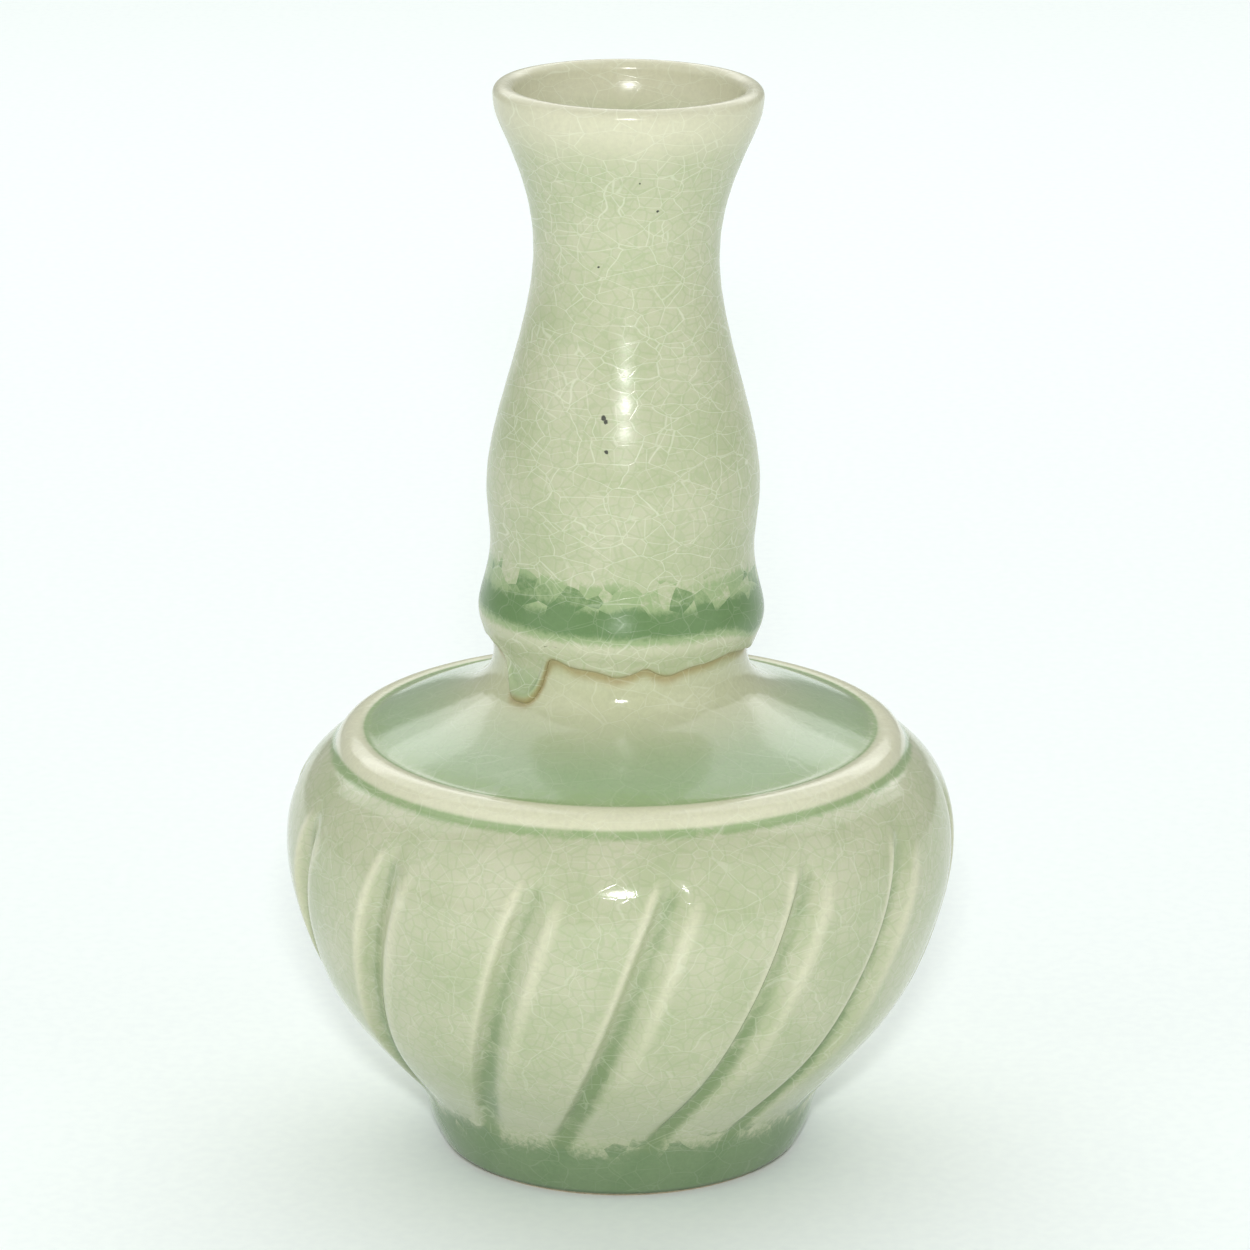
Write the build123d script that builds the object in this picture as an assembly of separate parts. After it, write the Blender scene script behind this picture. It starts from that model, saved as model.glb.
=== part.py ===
from build123d import *
import math
import os

# A wheel-thrown bud vase in crackled celadon, built as it is made: a bulb and a neck
# thrown apart, luted together at the waist with slip, and coated with glaze inside and out.
# Millimetres and degrees. Z is the axis of the bulb, and the foot ring stands on Z = 0.
# An outline point is (radius, height).

os.makedirs("parts", exist_ok=True)

# Glaze coats
BODY_COAT = 0.5
NECK_COAT = 0.6
LINING_COAT = 0.35
WELL_COAT = 0.35
GLAZE_LINE = 0.5  # height where the coat ends, just above the standing ring

# The luted joint at the waist
WAIST_RADIUS = 16.4
WAIST_HEIGHT = 66.0
WAIST_BORE = 12.8
SLIP_GAP = 0.6
SLIP_INSET = 0.2  # how far the slip stops short of the clay's outer face
SQUEEZE_BEAD = 0.7  # radius of the bead of slip pressed out inside
SQUEEZE_HEIGHT = 65.2
RUN_BEAD = 1.0  # radius of the thick rolled edge where the neck's coat ends
NECK_LEAN = 0.8  # the neck was set a little askew, leaning towards +X
BODY_END = WAIST_HEIGHT - SLIP_GAP / 2
NECK_END = WAIST_HEIGHT + SLIP_GAP / 2

# Bulb, from the edge of the coat at the foot over the belly and shoulder to the waist
BULB = [
    (23.4, 0.7),
    (25.1, 4.6),
    (26.2, 7.8),
    (28.7, 11.0),
    (32.4, 15.2),
    (36.9, 21.0),
    (41.3, 31.0),
    (43.2, 42.0),
    (40.8, 50.0),
    (34.6, 55.0),
    (27.5, 58.0),
    (21.5, 60.2),
    (17.8, 62.6),
    (16.75, 64.2),
    (WAIST_RADIUS, BODY_END),
]
RIDGE_CENTRE = (34.0, 53.5)
RIDGE_RADIUS = 2.6
FOOT_BEVEL = 0.4

# Hollow turned inside the standing ring, from its middle to its rim
WELL = [(0.0, 3.2), (15.0, 2.9), (18.2, 1.9), (19.0, 0.8)]

# Hollow of the bulb, on the face of its glazed lining
CHAMBER = [
    (0.0, 8.6),
    (13.0, 9.2),
    (23.5, 12.6),
    (30.5, 19.0),
    (36.6, 29.5),
    (38.9, 41.0),
    (36.4, 48.4),
    (29.5, 53.2),
    (20.5, 56.6),
    (15.0, 60.2),
    (13.3, 63.0),
    (WAIST_BORE, BODY_END),
]

# Rolled lip: a half round between the neck's outer face and its lining
LIP_CENTRE = (15.65, 138.45)
LIP_ROUND = 1.35

# Neck, from the waist over the collar bead and the swelling to the flared lip
NECK = [
    (WAIST_RADIUS, NECK_END),
    (16.85, 67.7),
    (17.75, 69.7),
    (18.3, 72.0),
    (17.9, 74.6),
    (16.95, 79.5),
    (17.45, 87.0),
    (15.45, 100.0),
    (13.0, 109.5),
    (11.85, 118.5),
    (12.9, 126.0),
    (15.9, 134.0),
    (16.75, 136.4),
    (LIP_CENTRE[0] + LIP_ROUND, LIP_CENTRE[1]),
]
THROAT = [
    (WAIST_BORE, NECK_END),
    (13.9, 72.5),
    (14.1, 86.0),
    (12.5, 99.0),
    (10.1, 109.5),
    (9.1, 118.5),
    (10.2, 127.0),
    (13.0, 134.0),
    (14.0, 136.5),
    (LIP_CENTRE[0] - LIP_ROUND, LIP_CENTRE[1]),
]

# Carved flutes: slanting cuts, each with a steep wall on its left and a gentle one on its
# right. The floor of a cut is an arc in a slanting plane that holds the bulb's radius.
FLUTES = 14
FIRST_FLUTE = 0.6  # turn of the first flute from the front, towards +X
FLUTE_STRAY = {1: -0.8, 2: -3.1, 13: 2.5}  # flutes off an even spacing, by number
FLUTE_MIDDLE = 30.0  # height where the slanting plane crosses the axis
FLUTE_SLANT = 19.2
FLUTE_ARC = 45.2
FLUTE_CENTRE_BACK = 3.8  # the arc's centre, past the axis and up the slant
FLUTE_CENTRE_UP = 13.2
FLUTE_FLOOR = 2.4
FLUTE_CLEAR = 7.0
FLUTE_LEFT_RUN = 0.5  # sideways run of each wall for one step outwards
FLUTE_RIGHT_RUN = 1.25
FLUTE_RISE = 16.5  # turn of the arc above its centre, and its whole sweep
FLUTE_SWEEP = 68.0

OFFSET_STEPS = 48  # stations that carry a curve's sideways copy
JOINT_REACH = 4.0  # how far the blocks that trim the joint reach above it
BASE = (Align.CENTER, Align.CENTER, Align.MIN)
UP = (0, 0, 1)
OUT = (1, 0, 0)


def point(radius, height):
    return Vector(radius, 0, height)


def curve(outline):
    """A smooth curve through an outline's points."""
    return Spline(*[point(*station) for station in outline])


def shifted(edge, distance, start=None, end=None):
    """The same curve moved sideways, to the left of its own direction or of a given one."""
    places = []
    for step in range(OFFSET_STEPS + 1):
        share = step / OFFSET_STEPS
        given = {0: start, OFFSET_STEPS: end}.get(step)
        tangent = Vector(given) if given else edge.tangent_at(share)
        normal = Vector(-tangent.Z, 0, tangent.X)
        places.append(edge.position_at(share) + normal * distance)
    return Spline(*places)


def lip_arc(radius, side):
    """A quarter round from the side of the lip, 1 outside or -1 inside, up to its crest."""
    return Plane.XZ * CenterArc(LIP_CENTRE, radius, 90 - 90 * side, 90 * side)


def section(*edges, bead=None):
    """A flat section inside a loop of edges, with a bead's section added to it."""
    face = make_face(Wire(list(edges))).face()
    if face.normal_at().Y > 0:  # sections merge only if they all face the same way
        face = -face
    return face + bead if bead else face


def turned(profile):
    """The solid that a section sweeps about the vase's axis."""
    return revolve(profile, Axis.Z)


def bead_section(radius, height, thickness):
    """The round section of a bead that runs round the vase."""
    return Plane.XZ * Pos(radius, height) * Circle(thickness)


def block_section(inner, outer, low, high):
    """The square-cornered section of a ring."""
    middle = Pos((inner + outer) / 2, (low + high) / 2)
    return Plane.XZ * middle * Rectangle(outer - inner, high - low)


def band_section(first, second):
    """The section between two chains of edges that run the same way."""
    low = Line(first[0].position_at(0), second[0].position_at(0))
    high = Line(first[-1].position_at(1), second[-1].position_at(1))
    return section(*first, *second, low, high)


def filled(edge, low, bevel=0.0, bead=None):
    """A turned solid from the axis out to a rising curve, down to a flat base."""
    bottom, top = edge.position_at(0), edge.position_at(1)
    corner = [point(bottom.X - bevel, low), point(bottom.X, low + bevel)]
    side = corner if bevel > 0 else corner[:1]
    rest = Polyline(top, point(0, top.Z), point(0, low), *side, bottom)
    return turned(section(edge, *rest.edges(), bead=bead))


def flute_cutter(growth):
    """One slanting cut at the front, opened on every side by the given amount."""
    slant = math.radians(FLUTE_SLANT)
    outward = Vector(0, -1, 0)
    along = Vector(math.sin(slant), 0, math.cos(slant))
    across = Vector(math.cos(slant), 0, -math.sin(slant))
    centre = Vector(0, 0, FLUTE_MIDDLE) - outward * FLUTE_CENTRE_BACK + along * FLUTE_CENTRE_UP
    top = FLUTE_ARC + FLUTE_CLEAR
    outline = Polyline(
        (FLUTE_ARC, -FLUTE_FLOOR / 2),
        (FLUTE_ARC, FLUTE_FLOOR / 2),
        (top, FLUTE_FLOOR / 2 + FLUTE_CLEAR * FLUTE_RIGHT_RUN),
        (top, -FLUTE_FLOOR / 2 - FLUTE_CLEAR * FLUTE_LEFT_RUN),
        close=True,
    )
    face = make_face(outline)
    if growth > 0:
        face = offset(face, growth, kind=Kind.INTERSECTION)
    plane = Plane(origin=centre, x_dir=outward, z_dir=outward.cross(across))
    axis = Axis(centre, across)
    extra = math.degrees(growth / FLUTE_ARC)
    cutter = revolve(plane * face, axis, FLUTE_SWEEP + 2 * extra)
    return cutter.rotate(axis, -FLUTE_RISE - extra)


def fluted(solid, growth):
    """The solid with every flute cut into it."""
    cutter = flute_cutter(growth)
    step = 360 / FLUTES
    turns = [FIRST_FLUTE + step * number + FLUTE_STRAY.get(number, 0) for number in range(FLUTES)]
    return solid - [Rot(0, 0, turn) * cutter for turn in turns]


def leaning(solid):
    """A piece of the neck, tipped about the middle of the joint."""
    return Pos(0, 0, WAIST_HEIGHT) * Rot(0, NECK_LEAN, 0) * Pos(0, 0, -WAIST_HEIGHT) * solid


# Outer faces and the clay under them
bulb_face = curve(BULB)
bulb_clay = shifted(bulb_face, BODY_COAT, end=UP)
neck_rise = curve(NECK)
neck_face = [neck_rise, lip_arc(LIP_ROUND, 1)]
neck_clay = [shifted(neck_rise, NECK_COAT, UP, UP), lip_arc(LIP_ROUND - NECK_COAT, 1)]

# Linings and the clay behind them
chamber_face = curve(CHAMBER)
chamber_clay = shifted(chamber_face, -LINING_COAT, OUT, UP)
throat_rise = curve(THROAT)
throat_face = [throat_rise, lip_arc(LIP_ROUND, -1)]
throat_clay = [shifted(throat_rise, -LINING_COAT, UP, UP), lip_arc(LIP_ROUND - LINING_COAT, -1)]
well_face = curve(WELL)
well_clay = shifted(well_face, WELL_COAT, OUT)

# Bulb of clay, and the coat over it
clay_ridge = bead_section(*RIDGE_CENTRE, RIDGE_RADIUS - BODY_COAT)
clay_bulb = fluted(filled(bulb_clay, 0, FOOT_BEVEL, clay_ridge), BODY_COAT)
coated_ridge = bead_section(*RIDGE_CENTRE, RIDGE_RADIUS)
coated_bulb = fluted(filled(bulb_face, GLAZE_LINE, bead=coated_ridge), 0)
body_glaze = coated_bulb - clay_bulb

well_end = well_clay.position_at(1)
well_sides = Polyline(well_clay.position_at(0), point(0, 0), point(well_end.X, 0), well_end)
well_hollow = section(well_clay, *well_sides.edges())
chamber_top = chamber_clay.position_at(1)
chamber_sides = Polyline(chamber_clay.position_at(0), point(0, BODY_END), chamber_top)
chamber_hollow = section(chamber_clay, *chamber_sides.edges())
body_section = clay_bulb - turned(chamber_hollow) - turned(well_hollow)

# Neck of clay, set on the bulb
neck_section = leaning(turned(band_section(neck_clay, throat_clay)))

# Slip in the joint. The neck's lean makes the gap a wedge, so the neck's base cuts it off.
neck_base = Pos(0, 0, NECK_END) * Cylinder(2 * WAIST_RADIUS, JOINT_REACH, align=BASE)
gap_top = NECK_END + JOINT_REACH / 2
slip_outer = WAIST_RADIUS - NECK_COAT - SLIP_INSET
slip_inner = WAIST_BORE + LINING_COAT
bore = chamber_hollow + block_section(0, slip_inner, BODY_END, gap_top)
squeezed = bead_section(slip_inner, SQUEEZE_HEIGHT, SQUEEZE_BEAD)
slip_section = block_section(slip_inner, slip_outer, BODY_END, gap_top) + (squeezed & bore)
luting_slip = turned(slip_section) - leaning(neck_base)

# The second coat ends in a thick rolled edge over the joint
rolled = bead_section(WAIST_RADIUS - BODY_COAT, WAIST_HEIGHT, RUN_BEAD)
rolled = rolled - band_section(neck_clay, throat_clay)
second_coat = leaning(turned(band_section(neck_face, neck_clay) + rolled))
neck_glaze = second_coat - body_glaze - body_section - luting_slip

# The lining runs over the bead of slip and meets the throat's lining at the neck's base
covered = bead_section(slip_inner, SQUEEZE_HEIGHT, SQUEEZE_BEAD + LINING_COAT) & bore
lining_section = band_section([chamber_face], [chamber_clay]) + covered
lining_section = lining_section + block_section(WAIST_BORE, slip_inner, BODY_END, gap_top)
chamber_lining = turned(lining_section - squeezed) - leaning(neck_base)
throat_lining = leaning(turned(band_section(throat_face, throat_clay)))
inner_glaze = Compound([*chamber_lining.solids(), *throat_lining.solids()])
foot_well_glaze = turned(band_section([well_face], [well_clay]))

PARTS = {
    "body_section": body_section,
    "neck_section": neck_section,
    "luting_slip": luting_slip,
    "body_glaze": body_glaze,
    "neck_glaze": neck_glaze,
    "inner_glaze": inner_glaze,
    "foot_well_glaze": foot_well_glaze,
}
for name, solid in PARTS.items():
    export_step(solid, f"parts/{name}.step")
    print(name, len(solid.solids()), round(solid.volume), solid.bounding_box().size)
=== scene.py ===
import math

import bpy
import numpy as np
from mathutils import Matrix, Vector


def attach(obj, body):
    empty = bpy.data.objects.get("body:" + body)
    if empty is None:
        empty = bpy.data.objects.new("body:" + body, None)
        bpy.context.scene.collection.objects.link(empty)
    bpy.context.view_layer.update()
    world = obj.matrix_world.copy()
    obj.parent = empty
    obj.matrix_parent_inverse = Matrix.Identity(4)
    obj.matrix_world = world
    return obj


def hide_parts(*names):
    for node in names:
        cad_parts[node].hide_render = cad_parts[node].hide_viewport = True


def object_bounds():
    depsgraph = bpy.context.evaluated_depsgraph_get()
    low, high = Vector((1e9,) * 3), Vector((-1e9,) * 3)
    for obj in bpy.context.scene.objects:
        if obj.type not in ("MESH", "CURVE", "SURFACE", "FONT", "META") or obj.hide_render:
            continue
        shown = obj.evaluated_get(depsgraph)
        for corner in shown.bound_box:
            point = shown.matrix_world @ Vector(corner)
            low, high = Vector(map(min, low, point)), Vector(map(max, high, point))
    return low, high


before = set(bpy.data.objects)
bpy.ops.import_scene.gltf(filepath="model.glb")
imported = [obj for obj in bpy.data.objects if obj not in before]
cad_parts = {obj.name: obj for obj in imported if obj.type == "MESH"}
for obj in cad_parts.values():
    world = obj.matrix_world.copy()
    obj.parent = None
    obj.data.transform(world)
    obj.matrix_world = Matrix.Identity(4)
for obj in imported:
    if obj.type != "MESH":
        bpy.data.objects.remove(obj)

# A wheel-thrown celadon bud vase. The clay is the CAD's own. Its glaze coats are rebuilt here
# as fine closed skins, with softened carving, a run second coat and pooled colour.
# Outlines are (radius, height) in millimetres, and objects are in metres. Angles go round the
# vase from its front (-Y), positive towards +X: in degrees where they are listed, in radians
# once radians() or a mesh function has them.

MM = 0.001
cad_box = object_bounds()
HEIGHT = (cad_box[1][2] - cad_box[0][2]) / MM

# Outer face of the first coat, from the foot to where the second coat hides it
FIRST_COAT = [
    (23.4, 0.55), (25.1, 4.6), (26.2, 7.8), (28.7, 11.0), (32.4, 15.2), (36.9, 21.0),
    (41.3, 31.0), (43.2, 42.0), (40.8, 50.0), (34.6, 55.0), (27.5, 58.0), (21.5, 60.2),
    (17.8, 62.6), (16.75, 64.2), (16.35, 66.0), (16.5, 67.7), (17.15, 69.7), (17.55, 71.6),
]
RIDGE_CENTRE = (34.0, 53.5)
RIDGE_RADIUS = 2.6
RIDGE_FILLET = 0.55

# Second coat, from over the shoulder (only its drips come down so far) to the lip
SECOND_COAT = [
    (27.7, 58.45), (21.8, 60.65), (18.2, 62.9), (17.15, 64.4), (16.8, 66.1), (16.9, 67.7),
    (17.75, 69.7), (18.3, 72.0), (17.9, 74.6), (16.95, 79.5), (17.45, 87.0), (15.45, 100.0),
    (13.0, 109.5), (11.85, 118.5), (12.9, 126.0), (15.9, 134.0), (16.75, 136.4), (17.0, 138.45),
]
LIP_CENTRE = (15.65, 138.45)
LIP_ROUND = 1.35
THROAT = [
    (14.3, 138.45), (14.0, 136.5), (13.0, 134.0), (10.2, 127.0), (9.1, 118.5), (10.1, 109.5),
    (12.5, 99.0), (14.1, 86.0), (13.9, 72.5), (12.8, 66.3), (13.1, 63.0), (15.0, 60.2),
    (20.5, 56.6), (29.5, 53.2), (36.4, 48.4), (38.9, 41.0), (36.6, 29.5), (30.5, 19.0),
    (23.5, 12.6), (13.0, 9.2), (0.0, 8.6),
]
MOUTH_DEPTH = 18.0  # how far the second coat runs down inside the mouth
WELL = [(19.0, 0.8), (18.2, 1.9), (15.0, 2.9), (0.0, 3.2)]

# The neck leans a little from the waist up
LEAN = math.radians(0.8)
LEAN_HEIGHT = 66.0

# Carved flutes, the CAD's slanting arcs
FLUTES = 14
FIRST_FLUTE = 0.6
FLUTE_STRAY = {1: -0.8, 2: -3.1, 13: 2.5}  # flutes off an even spacing, by number
FLUTE_MIDDLE = 30.0
FLUTE_SLANT = math.radians(19.2)
FLUTE_ARC = 45.2
FLUTE_CENTRE_BACK = 3.8
FLUTE_CENTRE_UP = 13.2
FLUTE_HALF_FLOOR = 1.2
FLUTE_LEFT_RUN = 0.5
FLUTE_RIGHT_RUN = 1.25
FLUTE_END = math.radians(51.5)  # the cut's lower end, as a turn of its arc
CUT_SOFTNESS = 0.55

SKIN = 0.3  # how far a glaze skin's hidden back lies behind its face
LINING_SKIN = 0.25  # the same for the linings
BACK_EVERY = 3  # a hidden back has a ring for every third ring of the face
NECK_BACK_ROWS = 48
NECK_COLUMNS = 300
LINING_COLUMNS = 192
CURVE_MARKS = 4001  # places tried when a distance along a curve is looked up
THROWING_DEPTH = 0.012  # height of the faint rings left by throwing
FLUTE_ZONE = (9.5, 51.0)  # heights between which the mesh's columns follow the flutes
OUT_OF_REACH = -1e3  # a height that no rounding can bring above the surface


def turned_point(radius, angle, height):
    """A place on the vase, in millimetres, from arrays of radius, angle and height."""
    return np.stack([radius * np.sin(angle), -radius * np.cos(angle), height + 0 * radius], -1)


def smooth_above(value, softness):
    """The larger of a value and zero, with a rounded corner."""
    return (value + np.sqrt(value * value + softness * softness)) / 2


def ramp(value, low, high):
    """A smooth step from 0 at low to 1 at high."""
    share = np.clip((value - low) / (high - low), 0, 1)
    return share * share * (3 - 2 * share)


def bump(value, centre, width):
    """A bell that is 1 at its centre."""
    return np.exp(-(((value - centre) / width) ** 2))


class Curve:
    """A natural cubic curve through an outline's points, read by distance along it."""

    def __init__(self, outline):
        self.knots = np.array(outline, float)
        steps = np.hypot(*np.diff(self.knots, axis=0).T)
        self.run = np.concatenate([[0], np.cumsum(steps)])
        self.steps = steps
        count = len(outline)
        system = np.eye(count)
        pull = np.zeros((count, 2))
        for i in range(1, count - 1):
            before, after = steps[i - 1], steps[i]
            system[i, i - 1 : i + 2] = before, 2 * (before + after), after
            rise = (self.knots[i + 1] - self.knots[i]) / after
            pull[i] = 6 * (rise - (self.knots[i] - self.knots[i - 1]) / before)
        self.bend = np.linalg.solve(system, pull)
        self.length = self.run[-1]

    def at(self, distance):
        """Radius and height at each distance, which may be an array of any shape."""
        distance = np.asarray(distance, float)
        k = np.clip(np.searchsorted(self.run, distance, side="right") - 1, 0, len(self.steps) - 1)
        size = self.steps[k][..., None]
        past = distance[..., None] - self.run[k][..., None]
        left = size - past
        cubic = (self.bend[k] * left**3 + self.bend[k + 1] * past**3) / (6 * size)
        start = (self.knots[k] / size - self.bend[k] * size / 6) * left
        return cubic + start + (self.knots[k + 1] / size - self.bend[k + 1] * size / 6) * past

    def normal(self, distance, reach=0.02):
        """The unit normal, which points outwards where the outline climbs."""
        ahead = self.at(np.minimum(distance + reach, self.length))
        along = ahead - self.at(np.maximum(distance - reach, 0))
        along /= np.linalg.norm(along, axis=-1, keepdims=True)
        return np.stack([along[..., 1], -along[..., 0]], -1)

    def distance_at_height(self, height):
        """The distance where the curve first passes a height."""
        marks = np.linspace(0, self.length, CURVE_MARKS)
        above = self.at(marks)[:, 1] - height
        return marks[np.nonzero(above[:-1] * above[1:] <= 0)[0][0]]

    def nearest(self, spot):
        """The distance where the curve comes closest to a point."""
        marks = np.linspace(0, self.length, CURVE_MARKS)
        return marks[np.argmin(np.linalg.norm(self.at(marks) - spot, axis=-1))]


def stations(bands):
    """Distances along a curve: each band is (its end, the spacing inside it)."""
    places, start = [], 0.0
    for end, spacing in bands:
        count = max(1, round((end - start) / spacing))
        places.extend(start + (end - start) * np.arange(count) / count)
        start = end
    return np.array(places + [start])


def lean(points):
    """Tips everything above the joint by the neck's lean."""
    over = np.maximum(points[..., 2] - LEAN_HEIGHT, 0)
    leaning = points.copy()
    leaning[..., 0] += np.sin(LEAN) * over
    leaning[..., 2] -= np.where(over > 0, np.sin(LEAN) * points[..., 0] * ramp(over, 0, 4), 0)
    return leaning


def uneven(angle, height, size, seed):
    """Slow, hand-made unevenness, in millimetres, that never goes above zero."""
    waves = 0
    for turn, rise, shift in ((1, 0.043, 0.3), (2, 0.071, 1.9), (3, 0.113, 4.1), (5, 0.19, 2.2)):
        waves = waves + np.sin(turn * angle + rise * height + shift * seed) / (turn + 1)
    return size * (waves / 1.25 - 1) / 2


EDGE_LEVEL = 68.15  # height of the second coat's run edge between its waves
BROAD_WAVE = 9.5  # a wave with a greater half width has a flat top
# Each wave of the run edge: its angle, half width and rise
EDGE_WAVES = [
    (-47.0, 11.5, -5.0), (-29.0, 6.0, 1.0), (-1.5, 7.5, -0.85), (10.5, 3.2, 0.5),
    (21.0, 7.0, -0.9), (52.0, 9.0, 0.7), (78.0, 6.0, -0.8), (100.0, 8.0, -1.3),
    (126.0, 6.5, 0.6), (149.0, 10.5, -2.6), (171.0, 6.0, 0.7), (-168.0, 7.0, -1.0),
    (-140.0, 8.0, 0.5), (-118.0, 9.0, -1.4), (-95.0, 7.0, 0.4), (-75.0, 6.0, 0.8),
]


def half_turn(degrees):
    """An angle brought between -180 and 180 degrees."""
    return (degrees + 180) % 360 - 180


def run_edge(angle):
    """Height of the second coat's run edge: scallops, and a long drip at the front left."""
    degrees = half_turn(np.degrees(angle))
    height = EDGE_LEVEL + 0 * degrees
    for centre, width, rise in EDGE_WAVES:
        power = 4 if width > BROAD_WAVE else 2
        height = height + rise * np.exp(-((half_turn(degrees - centre) / width) ** power))
    return height


def grid_mesh(name, rings, attributes=None, tube=False, pole=False):
    """A mesh from rings of points in millimetres. A tube's last ring joins its first."""
    rows, columns = rings.shape[:2]
    places = rings.reshape(-1, 3) * MM
    row = np.arange(rows if tube else rows - 1)[:, None]
    column = np.arange(columns)[None, :]
    right, above = (column + 1) % columns, (row + 1) % rows
    corners = [row * columns + column, row * columns + right]
    corners += [above * columns + right, above * columns + column]
    faces = np.stack(corners, -1).reshape(-1, 4).tolist()
    if pole:
        faces += cap(0, columns, True) + cap((rows - 1) * columns, columns, False)
    mesh = bpy.data.meshes.new(name)
    mesh.from_pydata(places.tolist(), [], faces)
    mesh.validate()
    for key, values in (attributes or {}).items():
        layer = mesh.attributes.new(key, "FLOAT", "POINT")
        layer.data.foreach_set("value", np.ascontiguousarray(values, dtype=np.float32).ravel())
    mesh.shade_smooth()
    piece = bpy.data.objects.new(name, mesh)
    bpy.context.scene.collection.objects.link(piece)
    return piece


def cap(start, columns, flip):
    """One flat face over an end ring."""
    loop = [start + i for i in range(columns)]
    return [loop[::-1] if flip else loop]


def with_back(front, back, fields):
    """Closes a skin: its front rings, then its hidden back's rings in reverse order."""
    rings = np.concatenate([front, back[::-1]])
    padded = {}
    for key, values in fields.items():
        blank = np.zeros((len(back), front.shape[1]))
        padded[key] = np.concatenate([values, blank])
    return rings, padded


# ---------------------------------------------------------------- first coat


def flute_columns():
    """Angles of the mesh's columns, closest together along each flute's steep wall."""
    parts = [(-0.14, 0.065, 17), (0.065, 0.34, 11), (0.34, 0.86, 10)]
    shares = np.concatenate([np.linspace(a, b, n, endpoint=False) for a, b, n in parts])
    step = 2 * math.pi / FLUTES
    strays = np.radians([FLUTE_STRAY.get(number, 0) for number in range(FLUTES + 1)])
    starts = step * np.arange(FLUTES + 1) + strays
    gaps = np.diff(starts)
    return np.concatenate([starts[i] + shares * gaps[i] for i in range(FLUTES)])


def carve(points):
    """Cuts the flutes into the first coat. Returns the points and two fields for colour."""
    along = np.array([math.sin(FLUTE_SLANT), 0, math.cos(FLUTE_SLANT)])
    across = np.array([math.cos(FLUTE_SLANT), 0, -math.sin(FLUTE_SLANT)])
    outward = np.array([0, -1.0, 0])
    middle = np.array([0, 0, FLUTE_MIDDLE])
    centre = middle - outward * FLUTE_CENTRE_BACK + along * FLUTE_CENTRE_UP
    uncut = smooth_above(-8.0, CUT_SOFTNESS)  # what the rounding leaves far outside a cut
    carved = points.copy()
    floor = np.zeros(points.shape[:2])
    edge = np.zeros(points.shape[:2])
    for number in range(FLUTES):
        turn = math.radians(FIRST_FLUTE + 360 / FLUTES * number + FLUTE_STRAY.get(number, 0))
        cosine, sine = math.cos(turn), math.sin(turn)
        spin = np.array([[cosine, sine, 0], [-sine, cosine, 0], [0, 0, 1]])
        place = points @ spin.T - centre
        side, out, rise = place @ across, place @ outward, place @ along
        far = np.hypot(out, rise)
        swing = np.arctan2(rise, out)
        near = (np.abs(side) < 9) & (out > 5)
        right = (side - FLUTE_HALF_FLOOR) / FLUTE_RIGHT_RUN
        left = (-side - FLUTE_HALF_FLOOR) / FLUTE_LEFT_RUN
        wall = smooth_above(np.maximum(right, left), 1.0) - 0.2
        over = far - FLUTE_ARC - wall
        fade = ramp(swing, -FLUTE_END - 0.02, -FLUTE_END + 0.16)
        cut = smooth_above(over, CUT_SOFTNESS) * fade - uncut
        depth = np.where(near, np.maximum(cut, 0), 0)
        inward = -(out[..., None] * outward + rise[..., None] * along) / far[..., None]
        carved += (inward @ spin) * depth[..., None]
        bottom = far - FLUTE_ARC  # depth of the floor below the uncut face, whatever the wall
        low = 1 - ramp(points[..., 2], 12, 38)
        strength = ramp(bottom, -0.1, 0.7) * (0.5 + 0.5 * low)
        floor += np.where(near, bump(side, 0.0, 1.3 + 0.35 * low) * strength, 0)
        shown = ramp(bottom, -0.6, 0.9) * (1 - 0.6 * low)
        banks = 0.75 * bump(side, 3.3, 1.4) + 0.85 * bump(side, -2.4, 0.85)
        edge += np.where(near, banks * shown, 0)
    return carved, np.clip(floor, 0, 1), np.clip(edge, 0, 1)


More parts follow.
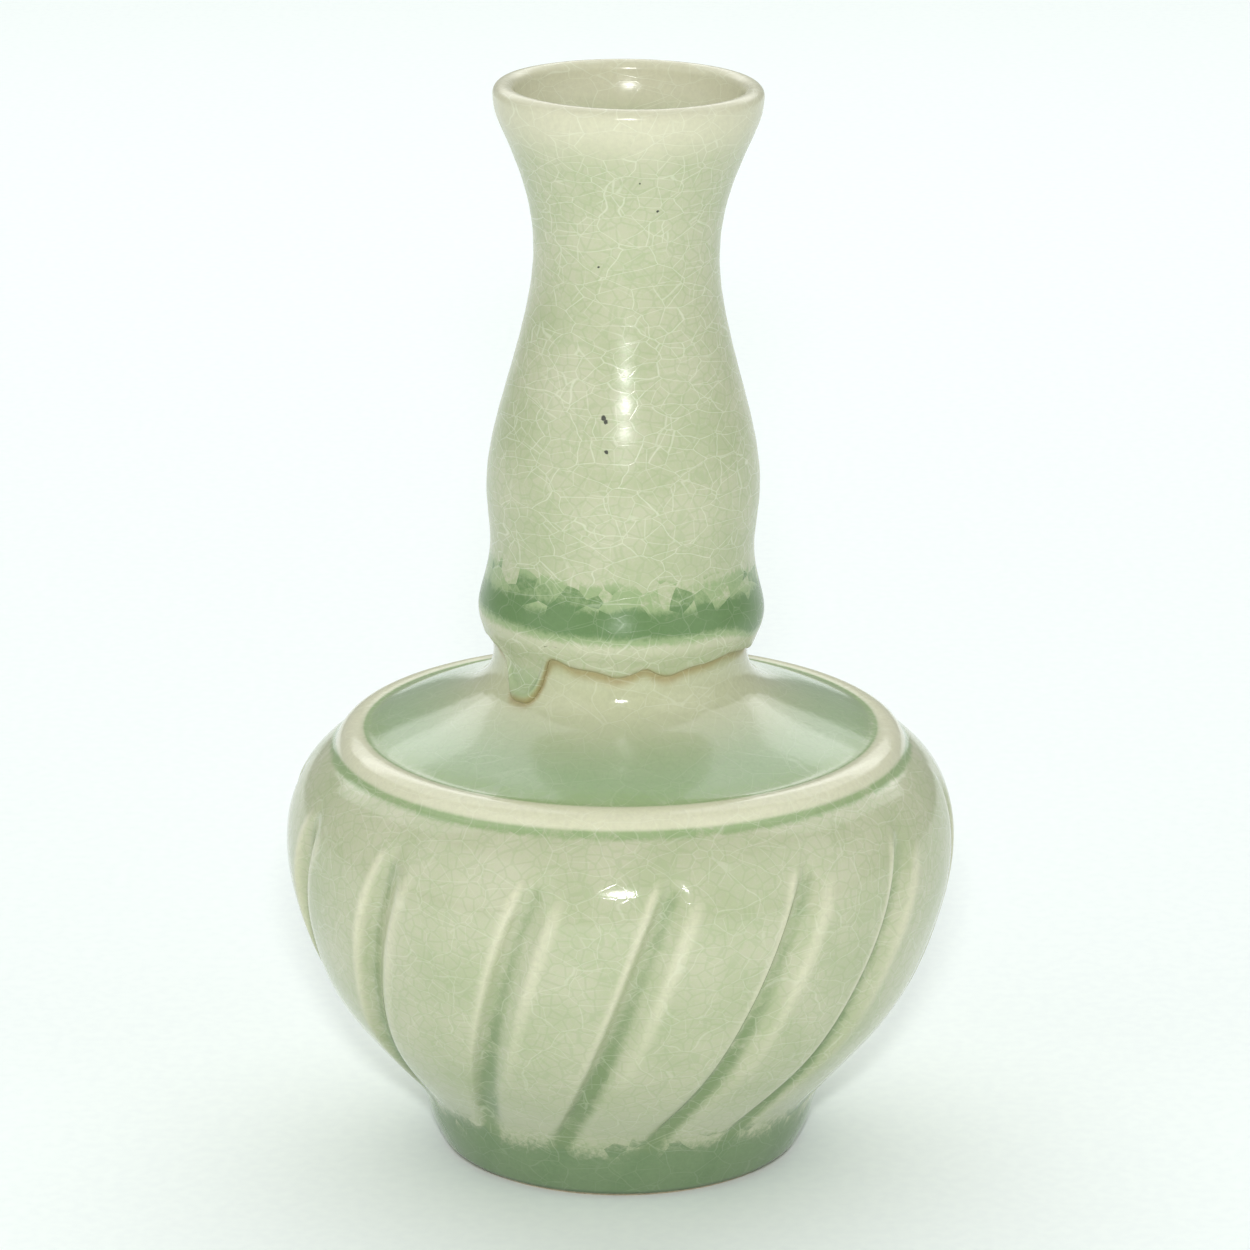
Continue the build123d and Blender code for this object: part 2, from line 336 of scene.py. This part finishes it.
def first_coat():
    """The coat over the bulb and up to the collar, with its ridge and carved flutes."""
    curve = Curve(FIRST_COAT)
    ridge = curve.nearest(RIDGE_CENTRE)
    marks = [curve.distance_at_height(h) for h in (9.5, 47.5, 49.5)]
    bands = [(marks[0], 0.6), (marks[1], 0.92), (marks[2], 0.5), (ridge - 4.0, 0.5)]
    bands += [(ridge + 3.2, 0.26), (curve.length - 10.0, 0.9), (curve.length, 0.5)]
    distance = stations(bands)
    face = curve.at(distance)
    normal = curve.normal(distance)

    # the ridge stands on the shoulder as a half-buried round
    offset = np.array(RIDGE_CENTRE) - face
    facing = (offset * normal).sum(-1)
    aside2 = (offset**2).sum(-1) - facing**2
    round_top = facing + np.sqrt(np.maximum(RIDGE_RADIUS**2 - aside2, 0))
    proud = np.where(aside2 > RIDGE_RADIUS**2, OUT_OF_REACH, round_top)
    ridge_rise = np.maximum(smooth_above(proud, RIDGE_FILLET) - 0.02, 0)
    ridge_rise = smooth_rows(ridge_rise, 2)
    radius, height = (face + normal * ridge_rise[:, None]).T

    columns = flute_columns()
    shear = shear_along(face)
    angle = columns[None, :] + shear[:, None] + math.radians(FIRST_FLUTE)
    grow = uneven(angle, height[:, None], 0.16, 1) * ramp(height[:, None], 1.0, 8.0)
    across = radius[:, None] + normal[:, :1] * grow
    points = turned_point(across, angle, height[:, None] + normal[:, 1:] * grow)
    points, floor, edge = carve(points)

    rows_height = points[..., 2]
    rise = np.broadcast_to(ridge_rise[:, None], floor.shape)
    gap = (run_edge(angle) - height[:, None]) / np.maximum(normal[:, :1], 0.55)
    waist = ramp(rows_height, 57.5, 64.5)
    fields = {
        "floor": floor,
        "cream": np.clip(edge + ramp(rise, 0.1, 0.5), 0, 1),
        "waist": waist,
        "pooled": ridge_pools(distance[:, None], rise, ridge, floor.shape),
        "foot": 1 - ramp(rows_height, 3.5, 11.5),
        "grey": bump(rows_height, 12.5, 2.6),
        # tan: a band just below the second coat's run edge: pooled ochre glaze, and painted
        # shadow cast by the coat's step
        "tan": bump(gap, 0.3, 0.85) * (gap > -1.5) * (rows_height > 60),
        "shoulder": ramp(distance[:, None] + 0 * floor, ridge + 1, ridge + 4) * (1 - waist),
    }
    back_rows = np.unique(np.append(np.arange(0, len(distance), BACK_EVERY), len(distance) - 1))
    back = points[back_rows]
    slope = normal[back_rows][:, None, :]
    hidden = back.copy()
    hidden[..., 0] -= SKIN * slope[..., 0] * np.sin(angle[back_rows])
    hidden[..., 1] += SKIN * slope[..., 0] * np.cos(angle[back_rows])
    hidden[..., 2] -= SKIN * slope[..., 1]
    rings, fields = with_back(lean(points), lean(hidden), fields)
    piece = grid_mesh("body_glaze_coat", rings, fields, tube=True)
    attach(piece, "root")
    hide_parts("body_glaze")
    return piece


def smooth_rows(values, times):
    """Values evened out with their neighbours."""
    for _ in range(times):
        values = np.convolve(np.pad(values, 1, mode="edge"), [0.25, 0.5, 0.25], "valid")
    return values


def shear_along(face):
    """How far a flute's middle line has turned at each station of the outline."""
    low, high = FLUTE_ZONE
    turns = (face[:, 1] - FLUTE_MIDDLE) * math.tan(FLUTE_SLANT) / face[:, 0]
    turns = np.arcsin(np.clip(turns, -0.9, 0.9))
    inside = (face[:, 1] >= low) & (face[:, 1] <= high)
    first, last = np.nonzero(inside)[0][[0, -1]]
    turns[:first] = turns[first]
    turns[last:] = turns[last]
    return smooth_rows(turns, 12)


def ridge_pools(distance, rise, ridge, shape):
    """Glaze gathered in the two creases beside the ridge."""
    under = bump(distance, ridge - 2.45, 0.95)
    over = bump(distance, ridge + 2.2, 0.5)
    inner = 0.6 * bump(distance, ridge + 2.6, 3.6) * (distance > ridge + 1.6)
    return np.broadcast_to(np.maximum(0.85 * under, np.maximum(over, inner)), shape)


# ---------------------------------------------------------------- second coat


def second_coat():
    """The coat over the neck, from its run edge over the lip and down inside the mouth."""
    curve = Curve(SECOND_COAT)
    join = curve.distance_at_height(71.2)
    columns = np.linspace(0, 2 * math.pi, NECK_COLUMNS, endpoint=False)
    edge_height = run_edge(columns)
    marks = np.linspace(0, join, 600)
    heights = curve.at(marks)[:, 1]
    edge = np.interp(edge_height, heights, marks)

    # rings that follow the run edge, then rings that settle to level ones at the bead
    roll = np.concatenate([np.linspace(0, 0.5, 7) ** 1.6 / 0.5**0.6, np.linspace(0.65, 2.4, 11)])
    near = edge[None, :] + roll[:, None]
    settle = np.linspace(0, 1, 12)[1:, None]
    near = np.concatenate([near, near[-1:] * (1 - settle) + join * settle])
    level = stations([(7.0, 0.3), (34.0, 0.62), (curve.length - join, 0.72)]) + join
    level = level[level > join + 0.05]
    distance = np.concatenate([near, np.repeat(level[:, None], len(columns), 1)])
    place, normal = curve.at(distance), curve.normal(distance)
    past = distance - edge[None, :]
    rounded = 1 - np.sqrt(1 - np.clip(1 - past / 0.55, 0, 1) ** 2)
    drip = ramp(67.2 - edge_height, 0, 3)[None, :]
    low = 1 - ramp(place[..., 1], 68.5, 71.5)
    swell = low * bump(past, 0.85, 0.7) * (0.12 + 0.22 * drip)
    shape = swell - 0.5 * rounded * low
    place = place + normal * shape[..., None]

    # over the lip and down inside the mouth
    turn = np.linspace(0, math.pi, 22)[1:-1]
    lip = LIP_CENTRE + LIP_ROUND * np.stack([np.cos(turn), np.sin(turn)], -1)
    throat = Curve(THROAT)
    inner = stations([(MOUTH_DEPTH, 0.7)])
    rest = np.concatenate([lip, throat.at(inner)])
    rest_normal = np.concatenate([(lip - LIP_CENTRE) / LIP_ROUND, throat.normal(inner)])
    wide = (len(rest), len(columns), 2)
    place = np.concatenate([place, np.broadcast_to(rest[:, None, :], wide)])
    normal = np.concatenate([normal, np.broadcast_to(rest_normal[:, None, :], wide)])

    angle = np.broadcast_to(columns[None, :], place.shape[:2])
    outside = np.arange(len(place))[:, None] < len(distance)
    wave = uneven(angle, place[..., 1], 0.2, 3) * ramp(place[..., 1], 70, 76)
    rings = THROWING_DEPTH * np.sin(place[..., 1] * 1.75 + 0.5 * np.sin(angle))
    rings = rings * ramp(place[..., 1], 77, 84)
    grow = np.where(outside, wave + rings - THROWING_DEPTH, 0)
    rim = ramp(place[..., 1], 132, 138)
    grow = grow * (1 - rim) + rim * uneven(angle, place[..., 1], 0.12, 7)
    place = place + normal * grow[..., None]
    points = lean(turned_point(place[..., 0], angle, place[..., 1]))

    height = place[..., 1]
    past_all = np.full(height.shape, 50.0)
    past_all[: len(distance)] = past
    over_collar = np.where(outside, bump(height, 71.4, 1.7), 0)
    fields = {
        "band": np.where(outside, valley(height, angle), 0),
        "jagged": np.where(outside, ramp(height, 74.2, 76.2), 0),
        "cream": np.clip(ramp(height, 128, 139) + 0.45 * over_collar, 0, 1),
        # tan: a line along the run edge itself: pooled ochre glaze, and painted shadow of the
        # coat's step
        "tan": bump(past_all, 0.0, 0.5),
        "drip": np.where(past_all < 40, drip * ramp(68.0 - height, 0, 2), 0),
    }
    back_rows = np.linspace(0, len(points) - 1, NECK_BACK_ROWS).round().astype(int)
    hidden = place[back_rows] - normal[back_rows] * SKIN
    hidden = lean(turned_point(hidden[..., 0], angle[back_rows], hidden[..., 1]))
    rings, fields = with_back(points, hidden, fields)
    piece = grid_mesh("neck_glaze_coat", rings, fields, tube=True)
    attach(piece, "root")
    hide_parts("neck_glaze")
    return piece


def valley(height, angle):
    """Where the second coat has pooled, in the valley above the collar. It sags at the right."""
    sag = 2.2 * bump(np.degrees(angle), 70, 16)
    lower = ramp(height, 71.0 - sag, 74.0 - sag)
    return lower * (1 - 0.45 * ramp(height, 75.4, 77.2)) * (1 - ramp(height, 78.4, 80.6))


# ---------------------------------------------------------------- linings


def lining(name, outline, node, start, spacing):
    """A skin that closes on the axis, from an outline that ends there."""
    curve = Curve(outline)
    distance = stations([(curve.length - start, spacing)])[:-1] + start
    columns = np.linspace(0, 2 * math.pi, LINING_COLUMNS, endpoint=False)
    place = np.repeat(curve.at(distance)[:, None, :], len(columns), 1)
    normal = curve.normal(distance)[:, None, :]
    angle = np.broadcast_to(columns[None, :], place.shape[:2])
    front = lean(turned_point(place[..., 0], angle, place[..., 1]))
    rows = np.arange(0, len(distance), BACK_EVERY)
    hidden = place[rows] - normal[rows] * LINING_SKIN
    back = lean(turned_point(hidden[..., 0], angle[rows], hidden[..., 1]))
    piece = grid_mesh(name, np.concatenate([front[::-1], back]), pole=True)
    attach(piece, "root")
    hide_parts(node)
    return piece


# ---------------------------------------------------------------- materials


def srgb(red, green, blue):
    """A colour given as it looks on a screen, from 0 to 255."""
    values = []
    for level in (red, green, blue):
        share = level / 255
        values.append(share / 12.92 if share <= 0.04045 else ((share + 0.055) / 1.055) ** 2.4)
    return (*values, 1.0)


class Graph:
    """A material's nodes. Each call makes a node and returns the output that it's for."""

    def __init__(self, name):
        self.material = bpy.data.materials.new(name)
        self.material.use_nodes = True
        self.tree = self.material.node_tree
        self.tree.nodes.clear()

    def feed(self, socket, value):
        if isinstance(value, bpy.types.NodeSocket):
            self.tree.links.new(value, socket)
        elif value is not None:
            socket.default_value = value

    def add(self, kind, settings=None, **inputs):
        node = self.tree.nodes.new(kind)
        for key, value in (settings or {}).items():
            setattr(node, key, value)
        for key, value in inputs.items():
            self.feed(node.inputs[key.replace("_", " ")], value)
        return node

    def math(self, operation, first, second=None):
        node = self.add("ShaderNodeMath", {"operation": operation})
        self.feed(node.inputs[0], first)
        self.feed(node.inputs[1], second)
        return node.outputs[0]

    def attribute(self, name):
        return self.add("ShaderNodeAttribute", {"attribute_name": name}).outputs["Fac"]

    def mix(self, share, first, second, blend="MIX"):
        node = self.add("ShaderNodeMix", {"data_type": "RGBA", "blend_type": blend})
        self.feed(node.inputs[0], share)
        self.feed(node.inputs[6], first)
        self.feed(node.inputs[7], second)
        return node.outputs[2]

    def step(self, value, low, high, start=0.0, end=1.0):
        """A smooth step of a value, clamped to its ends."""
        node = self.add("ShaderNodeMapRange", {"interpolation_type": "SMOOTHSTEP"})
        for index, number in enumerate((value, low, high, start, end)):
            self.feed(node.inputs[index], number)
        return node.outputs[0]

    def noise(self, place, scale, detail=2.0, roughness=0.5):
        inputs = {"Vector": place, "Scale": scale, "Detail": detail, "Roughness": roughness}
        return self.add("ShaderNodeTexNoise", None, **inputs).outputs["Fac"]

    def cells(self, place, scale, feature="F1", output="Distance"):
        node = self.add("ShaderNodeTexVoronoi", {"feature": feature}, Vector=place, Scale=scale)
        return node.outputs[output]

    def place(self, scale=(1, 1, 1), shift=(0, 0, 0)):
        """The place on the object in millimetres, stretched along its axes."""
        coordinates = self.add("ShaderNodeTexCoord").outputs["Object"]
        node = self.add("ShaderNodeMapping", None, Vector=coordinates)
        node.inputs["Scale"].default_value = [s / MM for s in scale]
        node.inputs["Location"].default_value = shift
        return node.outputs[0]

    def warp(self, place, scale, amount):
        """A place pushed about by noise."""
        noise = self.add("ShaderNodeTexNoise", None, Vector=place, Scale=scale, Detail=1.0)
        centred = self.add("ShaderNodeVectorMath", {"operation": "SUBTRACT"})
        self.feed(centred.inputs[0], noise.outputs["Color"])
        centred.inputs[1].default_value = (0.5, 0.5, 0.5)
        pushed = self.add("ShaderNodeVectorMath", {"operation": "MULTIPLY_ADD"})
        self.feed(pushed.inputs[0], centred.outputs[0])
        pushed.inputs[1].default_value = (amount, amount, amount)
        self.feed(pushed.inputs[2], place)
        return pushed.outputs[0]

    def finish(self, colour, roughness, height, relief, **extra):
        shader = self.add("ShaderNodeBsdfPrincipled", None, Roughness=roughness)
        self.feed(shader.inputs["Base Color"], colour)
        for key, value in extra.items():
            shader.inputs[key.replace("_", " ")].default_value = value
        if height is not None:
            inputs = {"Height": height, "Distance": relief * MM, "Strength": 1.0}
            bumps = self.add("ShaderNodeBump", None, **inputs)
            self.feed(shader.inputs["Normal"], bumps.outputs[0])
        output = self.add("ShaderNodeOutputMaterial")
        self.feed(output.inputs["Surface"], shader.outputs[0])
        return self.material


# Celadon's colours, from thin over the ridges to deep in the pools
PALE = srgb(192, 193, 165)
GREEN = srgb(173, 181, 145)
DEEP = srgb(142, 165, 116)
DARK = srgb(92, 124, 77)
FOOT = srgb(110, 133, 96)
FLOOR = srgb(124, 144, 100)
CREAM = srgb(218, 215, 188)
LIP = srgb(208, 205, 179)
TEAL = srgb(142, 168, 128)
WARM = srgb(190, 192, 158)
GREY = srgb(190, 192, 168)
# Ochre of glaze pooled at the second coat's run edge, made darker as painted shadow of the coat's
# step
TAN_AND_EDGE_SHADOW = srgb(160, 142, 94)
LINE = srgb(224, 228, 206)
IRON = srgb(46, 46, 48)
CLAY_PALE = srgb(196, 184, 156)
CLAY_DARK = srgb(164, 150, 122)
CLAY_GRAIN = srgb(110, 92, 70)
PAPER_SHADE = srgb(238, 244, 242)
PAPER_WHITE = srgb(241, 247, 244)

GLAZE_RELIEF = 0.012  # how deep the bumps of a face go, in millimetres
CLAY_RELIEF = 0.05


def crackle(graph, place, scale, width, warp=0.35):
    """Fine lines between irregular cells, 1 on a line."""
    bent = graph.warp(place, 0.18, 1.0 / scale * warp)
    apart = graph.cells(bent, scale, "DISTANCE_TO_EDGE")
    return graph.step(apart, width * scale * 0.3, width * scale, 1.0, 0.0)


def glaze_ground(graph, wide, stretch):
    """The mottling and crackle that every glazed face shares."""
    place = graph.place()
    cloud = graph.noise(place, 0.12, 2.0, 0.5)
    grain = graph.noise(place, 1.5, 4.0, 0.7)
    facets = graph.cells(graph.warp(place, 0.2, 1.2), 0.36, "F1", "Color")
    jag = graph.add("ShaderNodeSeparateColor", None, Color=facets).outputs[0]
    long_lines = crackle(graph, graph.place((1, 1, stretch), (3.1, 7.7, 1.9)), wide, 0.1)
    short_lines = crackle(graph, graph.place((1, 1, 1.25), (9.4, 2.3, 5.8)), 0.34, 0.085)
    patchy = graph.step(graph.noise(place, 0.2, 2.0), 0.36, 0.6, 0.15, 0.7)
    faint = graph.math("MULTIPLY", short_lines, patchy)
    lines = graph.math("MAXIMUM", graph.math("MULTIPLY", long_lines, 0.85), faint)
    seams = crackle(graph, graph.place((1, 1, 1.1), (4.7, 1.3, 8.1)), 0.55, 0.16)
    return place, cloud, grain, jag, lines, seams


def weighted(graph, *terms):
    """A sum of values times weights."""
    total = None
    for value, weight in terms:
        product = graph.math("MULTIPLY", value, weight) if weight != 1 else value
        total = product if total is None else graph.math("ADD", total, product)
    return total


def centred(graph, value, weight):
    """A value between 0 and 1 turned to one about zero, times a weight."""
    return graph.math("MULTIPLY", graph.math("SUBTRACT", value, 0.5), weight)


def glaze_colour(graph, cloud, grain, seams):
    """The glaze's own colour: fine grain over slow changes, and dull seams between granules."""
    thin = graph.math("ADD", cloud, centred(graph, grain, 1.3))
    colour = graph.mix(graph.step(thin, 0.15, 0.85), PALE, GREEN)
    return graph.mix(graph.math("MULTIPLY", seams, 0.2), colour, DEEP)


def glaze_relief(graph, place, grain, lines):
    """The bump of a glazed face, with the crackle's lines sunk in it."""
    return weighted(graph, (lines, -0.5), (graph.noise(place, 0.9, 2.0), 1.0), (grain, 0.3))


def body_material():
    """The first coat: pale on the ridge and banks, green in the flutes and at the foot."""
    graph = Graph("celadon")
    place, cloud, grain, jag, lines, seams = glaze_ground(graph, 0.15, 1.5)
    rough = graph.math("ADD", centred(graph, grain, 0.9), centred(graph, jag, 0.35))
    colour = glaze_colour(graph, cloud, grain, seams)
    colour = graph.mix(graph.math("MULTIPLY", graph.attribute("shoulder"), 0.75), colour, TEAL)
    pooled = graph.attribute("pooled")
    uneven_pool = graph.math("MULTIPLY", rough, graph.math("MULTIPLY", pooled, 1.5))
    pooled = graph.math("ADD", pooled, uneven_pool)
    colour = graph.mix(graph.step(pooled, 0.2, 0.85, 0.0, 0.85), colour, DEEP)
    colour = graph.mix(graph.math("MULTIPLY", graph.attribute("waist"), 0.9), colour, WARM)
    cream = graph.math("ADD", graph.attribute("cream"), centred(graph, grain, 0.35))
    colour = graph.mix(graph.step(cream, 0.2, 1.0, 0.0, 0.72), colour, CREAM)
    colour = graph.mix(graph.math("MULTIPLY", graph.attribute("grey"), 0.35), colour, GREY)
    floor = graph.attribute("floor")
    floor = graph.math("ADD", floor, graph.math("MULTIPLY", rough, floor))
    colour = graph.mix(graph.step(floor, 0.08, 0.95, 0.0, 0.97), colour, FLOOR)
    foot = graph.attribute("foot")
    ragged = graph.math("MULTIPLY", rough, graph.step(foot, 0.0, 0.2))
    foot = graph.math("ADD", foot, graph.math("MULTIPLY", ragged, 0.9))
    colour = graph.mix(graph.step(foot, 0.1, 0.75, 0.0, 0.95), colour, FOOT)
    # Pooled ochre and painted shadow just below the second coat's run edge
    colour = graph.mix(graph.math("MULTIPLY", graph.attribute("tan"), 0.75), colour, TAN_AND_EDGE_SHADOW)
    tone = graph.step(grain, 0.25, 0.75, 0.93, 1.05)
    colour = graph.mix(1.0, colour, tone, "MULTIPLY")
    plain = graph.math("MAXIMUM", graph.attribute("shoulder"), graph.attribute("foot"))
    shown = graph.math("MULTIPLY", lines, graph.step(plain, 0.0, 1.0, 0.22, 0.07))
    colour = graph.mix(shown, colour, LINE)
    height = glaze_relief(graph, place, grain, lines)
    roughness = graph.step(grain, 0.2, 0.8, 0.07, 0.14)
    return graph.finish(colour, roughness, height, GLAZE_RELIEF, IOR=1.5)


def neck_material():
    """The second coat: crackled, with a dark pool above the collar and a cream lip."""
    graph = Graph("celadon_second_coat")
    place, cloud, grain, jag, lines, seams = glaze_ground(graph, 0.17, 2.1)
    colour = glaze_colour(graph, cloud, grain, seams)
    cream = graph.math("ADD", graph.attribute("cream"), centred(graph, grain, 0.2))
    colour = graph.mix(graph.step(cream, 0.1, 1.0, 0.0, 0.85), colour, LIP)
    colour = graph.mix(graph.math("MULTIPLY", graph.attribute("drip"), 0.55), colour, DEEP)
    jags = graph.math("MULTIPLY", centred(graph, jag, 0.75), graph.attribute("jagged"))
    rough = graph.math("ADD", centred(graph, grain, 0.7), jags)
    pool = graph.attribute("band")
    band = graph.math("ADD", pool, graph.math("MULTIPLY", rough, graph.step(pool, 0.0, 0.15)))
    colour = graph.mix(graph.step(band, 0.12, 0.5, 0.0, 0.8), colour, DEEP)
    colour = graph.mix(graph.step(band, 0.5, 0.95, 0.0, 0.85), colour, DARK)
    # Pooled ochre and painted shadow along the run edge
    colour = graph.mix(graph.math("MULTIPLY", graph.attribute("tan"), 0.75), colour, TAN_AND_EDGE_SHADOW)
    tone = graph.step(grain, 0.25, 0.75, 0.94, 1.04)
    colour = graph.mix(1.0, colour, tone, "MULTIPLY")
    shown = graph.math("MULTIPLY", lines, graph.step(pool, 0.0, 1.0, 0.42, 0.1))
    colour = graph.mix(shown, colour, LINE)
    colour = specks(graph, colour)
    height = glaze_relief(graph, place, grain, lines)
    roughness = graph.step(grain, 0.2, 0.8, 0.18, 0.28)
    return graph.finish(colour, roughness, height, GLAZE_RELIEF, IOR=1.42)


# Iron specks on the neck: angle, radius, height and size
SPECKS = [
    (-9.7, 15.4, 100.7, 0.34), (-8.6, 15.4, 100.2, 0.28), (-7.8, 16.2, 96.6, 0.26),
    (-17.0, 11.8, 119.0, 0.16), (6.0, 14.2, 130.2, 0.13), (16.7, 12.9, 126.3, 0.15),
]
SPECK_REACH = 0.3  # depth counts for less than height and breadth in a speck's size


def specks(graph, colour):
    """Small iron specks burnt through the glaze."""
    bent = graph.warp(graph.place((1, SPECK_REACH, 1)), 3.0, 0.3)
    for angle, radius, height, size in SPECKS:
        turn = math.radians(angle)
        across = radius * math.sin(turn) + math.sin(LEAN) * (height - LEAN_HEIGHT)
        spot = (across, -SPECK_REACH * radius * math.cos(turn), height)
        apart = graph.add("ShaderNodeVectorMath", {"operation": "DISTANCE"})
        graph.feed(apart.inputs[0], bent)
        apart.inputs[1].default_value = spot
        share = graph.step(apart.outputs["Value"], size * 0.75, size * 1.2, 0.9, 0.0)
        colour = graph.mix(share, colour, IRON)
    return colour


def lining_material():
    """The plain glaze inside the vase and in the foot well."""
    graph = Graph("celadon_lining")
    place, cloud, grain, _, lines, seams = glaze_ground(graph, 0.16, 1.0)
    colour = glaze_colour(graph, cloud, grain, seams)
    colour = graph.mix(graph.math("MULTIPLY", lines, 0.35), colour, LINE)
    height = glaze_relief(graph, place, grain, lines)
    roughness = graph.step(cloud, 0.2, 0.8, 0.06, 0.12)
    return graph.finish(colour, roughness, height, GLAZE_RELIEF, IOR=1.5)


def clay_material():
    """Fired stoneware with small dark grains."""
    graph = Graph("stoneware")
    place = graph.place()
    grain = graph.noise(place, 1.8, 5.0, 0.7)
    colour = graph.mix(graph.step(grain, 0.3, 0.7), CLAY_PALE, CLAY_DARK)
    dark = graph.step(graph.cells(place, 0.8), 0.06, 0.16, 0.7, 0.0)
    colour = graph.mix(dark, colour, CLAY_GRAIN)
    return graph.finish(colour, graph.step(grain, 0.2, 0.8, 0.6, 0.85), grain, CLAY_RELIEF)


# ---------------------------------------------------------------- setting


FLOOR_REACH = 30  # heights of the vase from the middle of the floor to its edge


def sweep_floor():
    """A flat paper floor."""
    size = FLOOR_REACH * HEIGHT * MM
    mesh = bpy.data.meshes.new("floor")
    corners = [(-size, -size, 0), (size, -size, 0), (size, size, 0), (-size, size, 0)]
    mesh.from_pydata(corners, [], [(0, 1, 2, 3)])
    piece = bpy.data.objects.new("floor", mesh)
    bpy.context.scene.collection.objects.link(piece)
    graph = Graph("paper")
    fibres = graph.noise(graph.place(), 0.6, 3.0)
    colour = graph.mix(graph.step(fibres, 0.3, 0.7), PAPER_SHADE, PAPER_WHITE)
    roughness = graph.step(fibres, 0, 1, 0.85, 0.95)
    piece.data.materials.append(graph.finish(colour, roughness, None, 0))
    piece.location.z = cad_box[0][2]


CAMERA_DISTANCE = 5.193 * HEIGHT
CAMERA_AIM = (0.55, 0.0, 0.495 * HEIGHT)
CAMERA_ELEVATION = math.radians(17.064)
LENS = 163.58
SENSOR = 36.0
FLASH_RISE = 68.0  # how far the flash sits above the camera
FLASH_SIZE = (0.050, 0.032)
FLASH_BRIGHTNESS = 540

# Soft boxes: name, place and aim in metres, width, depth and brightness
SOFT_BOXES = [
    ("left_box", (-0.85, -0.45, 0.55), (0, 0, 0.06), 1.0, 1.0, 0.7),
    ("right_box", (0.85, -0.45, 0.55), (0, 0, 0.06), 1.0, 1.0, 0.6),
    ("back_box", (0, 0.55, 0.85), (0, 0, 0.06), 1.9, 1.0, 1.3),
    ("far_box", (0, 1.5, 0.9), (0, 1.1, 0), 2.4, 0.8, 1.2),
]
TENT_TINT = (0.95, 1.0, 0.99, 1.0)
TENT_BRIGHTNESS = 0.32


def camera_and_lights():
    aim = Vector(CAMERA_AIM) * MM
    back = Vector((0, -math.cos(CAMERA_ELEVATION), math.sin(CAMERA_ELEVATION)))
    lens = bpy.data.cameras.new("camera")
    lens.lens, lens.sensor_width = LENS, SENSOR
    lens.clip_start, lens.clip_end = 0.01, 100
    camera = bpy.data.objects.new("camera", lens)
    camera.location = aim + back * CAMERA_DISTANCE * MM
    camera.rotation_euler = (math.pi / 2 - CAMERA_ELEVATION, 0, 0)
    bpy.context.scene.collection.objects.link(camera)
    bpy.context.scene.camera = camera

    above = Vector((0, math.sin(CAMERA_ELEVATION), math.cos(CAMERA_ELEVATION)))
    flash = camera.location + above * FLASH_RISE * MM
    area_light("flash", flash, aim, *FLASH_SIZE, FLASH_BRIGHTNESS)
    for name, place, target, width, depth, brightness in SOFT_BOXES:
        area_light(name, Vector(place), Vector(target), width, depth, brightness)


def area_light(name, place, aim, width, depth, brightness):
    """A soft box. Its brightness is what its face shows, where 1 is the floor's white."""
    light = bpy.data.lights.new(name, "AREA")
    light.shape, light.size, light.size_y = "RECTANGLE", width, depth
    light.energy = brightness * math.pi * width * depth
    lamp = bpy.data.objects.new(name, light)
    lamp.location = place
    lamp.rotation_euler = (aim - place).to_track_quat("-Z", "Y").to_euler()
    bpy.context.scene.collection.objects.link(lamp)


def surroundings():
    world = bpy.data.worlds.new("tent")
    world.use_nodes = True
    ground = world.node_tree.nodes["Background"]
    ground.inputs["Color"].default_value = TENT_TINT
    ground.inputs["Strength"].default_value = TENT_BRIGHTNESS
    bpy.context.scene.world = world
    bpy.context.scene.view_settings.view_transform = "Standard"


def set_material(piece, material):
    piece.data.materials.clear()
    piece.data.materials.append(material)


set_material(first_coat(), body_material())
set_material(second_coat(), neck_material())
inside = lining_material()
set_material(lining("inner_glaze_coat", THROAT, "inner_glaze", MOUTH_DEPTH, 0.8), inside)
set_material(lining("foot_well_coat", WELL, "foot_well_glaze", 0.0, 0.5), inside)
clay = clay_material()
for node in ("body_section", "neck_section", "luting_slip"):
    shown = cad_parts[node]
    for place in shown.material_slots:
        place.material = clay
sweep_floor()
camera_and_lights()
surroundings()
